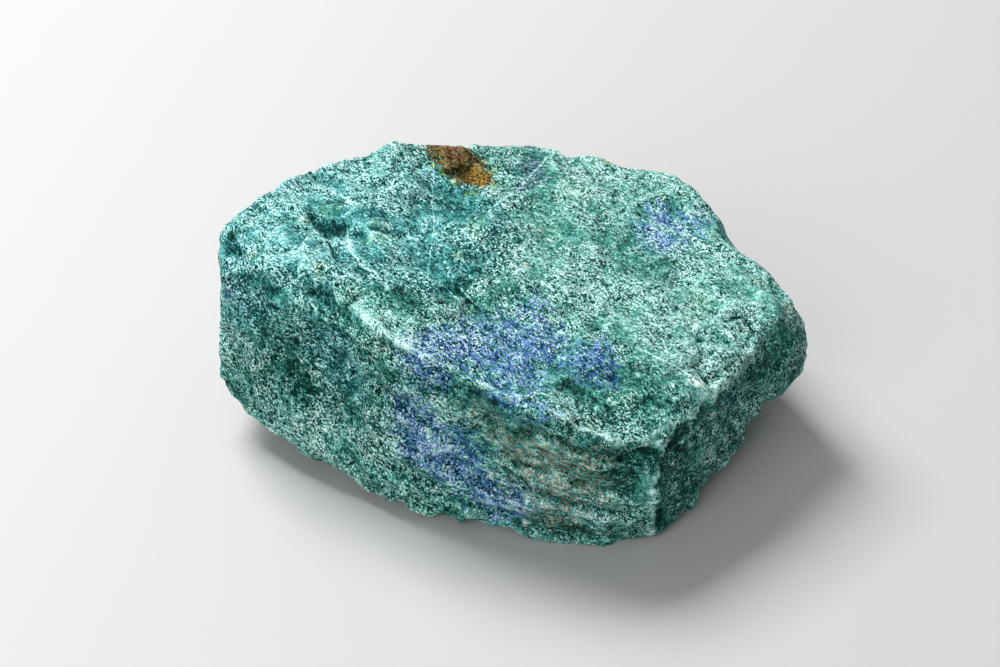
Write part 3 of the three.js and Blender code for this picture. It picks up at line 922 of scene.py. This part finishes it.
tree = grain_group
where, crystal_size = grain_in.outputs["Vector"], grain_in.outputs["Crystal Size"]
fine_mottle = noise_node(tree, where, 2.8, detail=1.0, roughness=0.9).outputs["Fac"]
crystal_tone, crystal_kind = random_cells(tree, where, crystal_size)
speck_size = math_node(tree, "MULTIPLY", crystal_size, SPECKS_TO_CRYSTALS)
speck_tone, speck_kind = random_cells(tree, where, speck_size)
grain_parts = [
    share_of(tree, fine_mottle, 0.5, FINE_MOTTLE_SHARE),
    share_of(tree, crystal_tone, 0.5, CRYSTAL_SHARE),
    share_of(tree, speck_tone, 0.5, SPECK_SHARE),
    remap(tree, speck_kind, 0.88, 0.94, 0.0, WHITE_SHARE),
    remap(tree, crystal_kind, 0.08, 0.14, -BLACK_SHARE, 0.0),
]
put(tree, grain_out.inputs["Grain"], sum_of(tree, grain_parts))
put(tree, grain_out.inputs["Fleck"], crystal_kind)
print("grain group:", len(tree.nodes), "nodes")

# %% [markdown]
# ## Four tones
# A mineral isn't one colour. Its crystals run from dark, where they are deep and clear, to nearly
# white, where they are powdery. This group turns a value from 0 to 1 into one of four tones, with the
# colours as inputs, so that malachite, azurite and rust each use it with their own.

# %% Tone group
TONE_STOPS = (0.16, 0.42, 0.66, 0.92)

tone_group, tone_in, tone_out = new_group(
    "four_tones",
    [
        ("Value", "value", 0.5),
        ("Dark", "colour", (0.0, 0.0, 0.0, 1.0)),
        ("Middle", "colour", (0.3, 0.3, 0.3, 1.0)),
        ("Light", "colour", (0.6, 0.6, 0.6, 1.0)),
        ("Palest", "colour", (1.0, 1.0, 1.0, 1.0)),
    ],
    [("Color", "colour")],
)
tree = tone_group
steps = [
    remap(tree, tone_in.outputs["Value"], low, high) for low, high in zip(TONE_STOPS, TONE_STOPS[1:])
]


def mix_sockets(tree, factor, a, b):
    node = tree.nodes.new("ShaderNodeMix")
    node.data_type = "RGBA"
    put(tree, node.inputs["Factor"], factor)
    put(tree, mix_colours_socket(node, "A"), a)
    put(tree, mix_colours_socket(node, "B"), b)
    return [s for s in node.outputs if s.type == "RGBA"][0]


first = mix_sockets(tree, steps[0], tone_in.outputs["Dark"], tone_in.outputs["Middle"])
second = mix_sockets(tree, steps[1], first, tone_in.outputs["Light"])
third = mix_sockets(tree, steps[2], second, tone_in.outputs["Palest"])
put(tree, tone_out.inputs["Color"], third)
print("tone group:", len(tree.nodes), "nodes")

# %% [markdown]
# ## Ragged borders
# A patch of azurite has no drawn outline: single crystals of it lie among the green ones. The group
# adds the grain to the patch's soft weight and then cuts sharply, so the border falls apart into
# grains.

# %% Border group
border_group, border_in, border_out = new_group(
    "ragged_border",
    [
        ("Weight", "value", 0.0),
        ("Grain", "value", 0.5),
        ("Breakup", "value", 0.6),
        ("Threshold", "value", 0.5),
        ("Softness", "value", 0.12),
    ],
    [("Mask", "value")],
)
tree = border_group
near_patch = remap(tree, border_in.outputs["Weight"], 0.02, 0.2)
breakup = math_node(tree, "MULTIPLY", border_in.outputs["Breakup"], near_patch)
push = share_of(tree, border_in.outputs["Grain"], 0.5, breakup)
pushed = math_node(tree, "ADD", border_in.outputs["Weight"], push)
low = math_node(tree, "SUBTRACT", border_in.outputs["Threshold"], border_in.outputs["Softness"])
high = math_node(tree, "ADD", border_in.outputs["Threshold"], border_in.outputs["Softness"])
put(tree, border_out.inputs["Mask"], remap(tree, pushed, low, high, smooth=True))
print("border group:", len(tree.nodes), "nodes")

# %% [markdown]
# ## The rock itself
# One material covers the stone. A picture wrapped round it would need seams, so every pattern is
# worked out in three dimensions instead, in millimetres, and drawn out along the grain of the rock.
# It runs on over every edge, as real grain does.

# %% Rock material and its coordinates
PER_MM = 1.0 / METRES
FOLIATION_TURN = (0.0, 0.45, -0.85)
FOLIATION_STRETCH = (1.3, 0.92, 0.85)

rock = bpy.data.materials.new("azurite_malachite")
rock.use_nodes = True
tree = rock.node_tree
shader = tree.nodes["Principled BSDF"]

coordinates = tree.nodes.new("ShaderNodeTexCoord")
in_mm = vector_node(tree, "SCALE", coordinates.outputs["Object"], scale=PER_MM)
along_foliation = tree.nodes.new("ShaderNodeMapping")
along_foliation.vector_type = "TEXTURE"
put(tree, along_foliation.inputs["Vector"], in_mm)
along_foliation.inputs["Rotation"].default_value = FOLIATION_TURN
along_foliation.inputs["Scale"].default_value = FOLIATION_STRETCH
place = along_foliation.outputs["Vector"]
print("coordinates are in units of", METRES, "m, stretched by", FOLIATION_STRETCH)

# %% Grain, splinters and masks
CRYSTAL_SIZE = 0.21
SPLINTER_SIZE = 0.42
PATCH_NOISE_SHARE = 1.6
PATCH_FLECK_SHARE = 0.6


def weight_node(name):
    node = tree.nodes.new("ShaderNodeAttribute")
    node.attribute_name = name
    return node.outputs["Fac"]


grain_node = use_group(tree, grain_group, Vector=place, Crystal_Size=CRYSTAL_SIZE)
grain_value = grain_node.outputs["Grain"]
fleck = grain_node.outputs["Fleck"]
splinters = use_group(tree, chip_group, Vector=place, Size=SPLINTER_SIZE)
fine_noise = noise_node(tree, place, 1.1, detail=3.0, roughness=0.8).outputs["Fac"]
patch_noise = share_of(tree, fine_noise, 0.5, PATCH_NOISE_SHARE)
patch_grain = sum_of(tree, [patch_noise, share_of(tree, fleck, -0.1, PATCH_FLECK_SHARE)])


def mask_of(name, breakup, threshold, softness):
    border = use_group(tree, border_group, Weight=weight_node(name), Grain=patch_grain, Breakup=breakup)
    border.inputs["Threshold"].default_value = threshold
    border.inputs["Softness"].default_value = softness
    return border.outputs["Mask"]


# %% [markdown]
# ## One value from dark to pale
# The number for the shade, with its painted highlights and painted shade, the grain, the tone and the
# rims of splinters, a net of pale threads and the veins are added to one value. It could drive
# brightness alone, but it picks the mineral's tone, so that dark grains are also deeper in colour.

# %% Value
START_VALUE = 0.30
SPLINTER_TONE = 0.16
SPLINTER_RIM = 0.08
NET_WIDTH = 0.022
NET_PALE = 0.26

# Thin pale threads run between the darker patches, where the noise passes through its middle value
net_side = math_node(tree, "ABSOLUTE", math_node(tree, "SUBTRACT", fine_noise, 0.5))
net = remap(tree, net_side, 0.3 * NET_WIDTH, NET_WIDTH, NET_PALE, 0.0)

value_parts = [
    weight_node("shade"),
    math_node(tree, "MULTIPLY", grain_value, weight_node("speckle")),
    share_of(tree, splinters.outputs["Tone"], 0.5, SPLINTER_TONE),
    math_node(tree, "MULTIPLY", splinters.outputs["Rim"], SPLINTER_RIM),
    math_node(tree, "MULTIPLY", net, weight_node("netted")),
]
LINE_HALF_WIDTH = 0.05
line_wander = share_of(tree, fine_noise, 0.5, 0.25)
# Pale lines are veins and, on some crests, painted highlights; lines below 0 are painted shade in cracks
for name in LINE_SETS:
    attribute_node = tree.nodes.new("ShaderNodeAttribute")
    attribute_node.attribute_name = name
    parts = tree.nodes.new("ShaderNodeSeparateXYZ")
    put(tree, parts.inputs["Vector"], attribute_node.outputs["Vector"])
    side = math_node(tree, "ABSOLUTE", math_node(tree, "ADD", parts.outputs["X"], line_wander))
    line = remap(tree, side, 0.4 * LINE_HALF_WIDTH, 2.0 * LINE_HALF_WIDTH, 1.0, 0.0)
    value_parts.append(math_node(tree, "MULTIPLY", line, parts.outputs["Y"]))
value = sum_of(tree, value_parts, START_VALUE)
print("parts of the value:", len(value_parts))

# %% [markdown]
# ## The minerals over each other
# Each mineral has its four tones, from dark to powdery. Green malachite covers everything, and the
# others are laid over it one by one through their ragged masks, the rust last, since it stained what
# was there. Powdery spots are also a little less rough to the light than deep ones.

# %% Colours of the minerals


def tones(dark, middle, light, palest):
    node = use_group(tree, tone_group, Value=value)
    by_name = {"Dark": dark, "Middle": middle, "Light": light, "Palest": palest}
    for socket_name, rgb in by_name.items():
        node.inputs[socket_name].default_value = colour(*rgb)
    return node.outputs["Color"]


green = tones((0, 42, 36), (50, 126, 114), (112, 184, 174), (204, 242, 236))
teal = tones((0, 46, 46), (42, 126, 124), (102, 186, 184), (196, 244, 242))
blue = tones((8, 50, 92), (64, 112, 170), (118, 164, 206), (204, 230, 244))
brown = tones((38, 66, 60), (98, 110, 96), (146, 148, 132), (206, 208, 194))
rusty = tones((32, 28, 4), (56, 50, 12), (86, 74, 24), (134, 118, 72))
orange = tones((64, 44, 4), (108, 84, 12), (146, 116, 32), (194, 166, 92))
pink = tones((60, 36, 14), (94, 60, 32), (126, 92, 58), (172, 142, 106))
mossy = tones((36, 74, 40), (82, 134, 84), (138, 188, 132), (208, 232, 192))
slate = tones((10, 40, 48), (50, 100, 112), (98, 150, 158), (190, 220, 224))
leaf = tones((12, 62, 50), (66, 138, 120), (120, 190, 170), (210, 244, 232))
dusty_blue = tones((30, 58, 70), (84, 116, 132), (140, 166, 178), (214, 228, 234))
cream = tones((96, 132, 116), (168, 192, 174), (216, 226, 212), (250, 252, 246))

# For each layer: how far its border breaks up, where it is cut, and how softly
LAYERS = [
    ("teal", teal, 0.6, 0.50, 0.30),
    ("leaf", leaf, 1.0, 0.60, 0.30),
    ("dusty_blue", dusty_blue, 1.4, 0.50, 0.20),
    ("brown", brown, 1.4, 0.50, 0.20),
    ("azurite", blue, 1.7, 0.52, 0.20),
    ("slate", slate, 0.8, 0.50, 0.20),
    ("cream", cream, 1.6, 0.90, 0.12),
    ("yellow_green", mossy, 0.8, 0.50, 0.25),
    ("rust", rusty, 0.8, 0.50, 0.26),
    ("orange", orange, 1.0, 0.60, 0.30),
    ("pink", pink, 1.0, 0.60, 0.36),
]
surface_colour = green
for name, mineral, breakup, threshold, softness in LAYERS:
    mask = mask_of(name, breakup, threshold, softness)
    surface_colour = mix_sockets(tree, mask, surface_colour, mineral)
put(tree, shader.inputs["Base Color"], surface_colour)
shader.inputs["Specular IOR Level"].default_value = 0.1
put(tree, shader.inputs["Roughness"], remap(tree, value, 0.2, 0.9, 0.86, 0.58))
print("layers of mineral:", len(LAYERS))

# %% [markdown]
# ## Bump
# Splinters and crystals are finer than the mesh, so a Bump node bends the light for them. They could
# be true displacement, but that would take millions of squares for forms that hardly show.

# %% Bump and the finished material
SPLINTER_HEIGHT = 0.20
CRYSTAL_HEIGHT = 0.06
splinter_height = math_node(tree, "MULTIPLY", splinters.outputs["Height"], SPLINTER_HEIGHT)
height_parts = [
    math_node(tree, "MULTIPLY", splinter_height, weight_node("chipped")),
    math_node(tree, "MULTIPLY", grain_value, CRYSTAL_HEIGHT),
]
bump = tree.nodes.new("ShaderNodeBump")
bump.inputs["Strength"].default_value = 1.0
bump.inputs["Distance"].default_value = METRES
put(tree, bump.inputs["Height"], sum_of(tree, height_parts))
put(tree, shader.inputs["Normal"], bump.outputs["Normal"])

fine_mesh.materials.clear()
fine_mesh.materials.append(rock)
print("rock material:", len(tree.nodes), "nodes")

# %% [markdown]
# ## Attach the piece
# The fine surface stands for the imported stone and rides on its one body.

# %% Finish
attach(piece, "root")
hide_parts("stone")
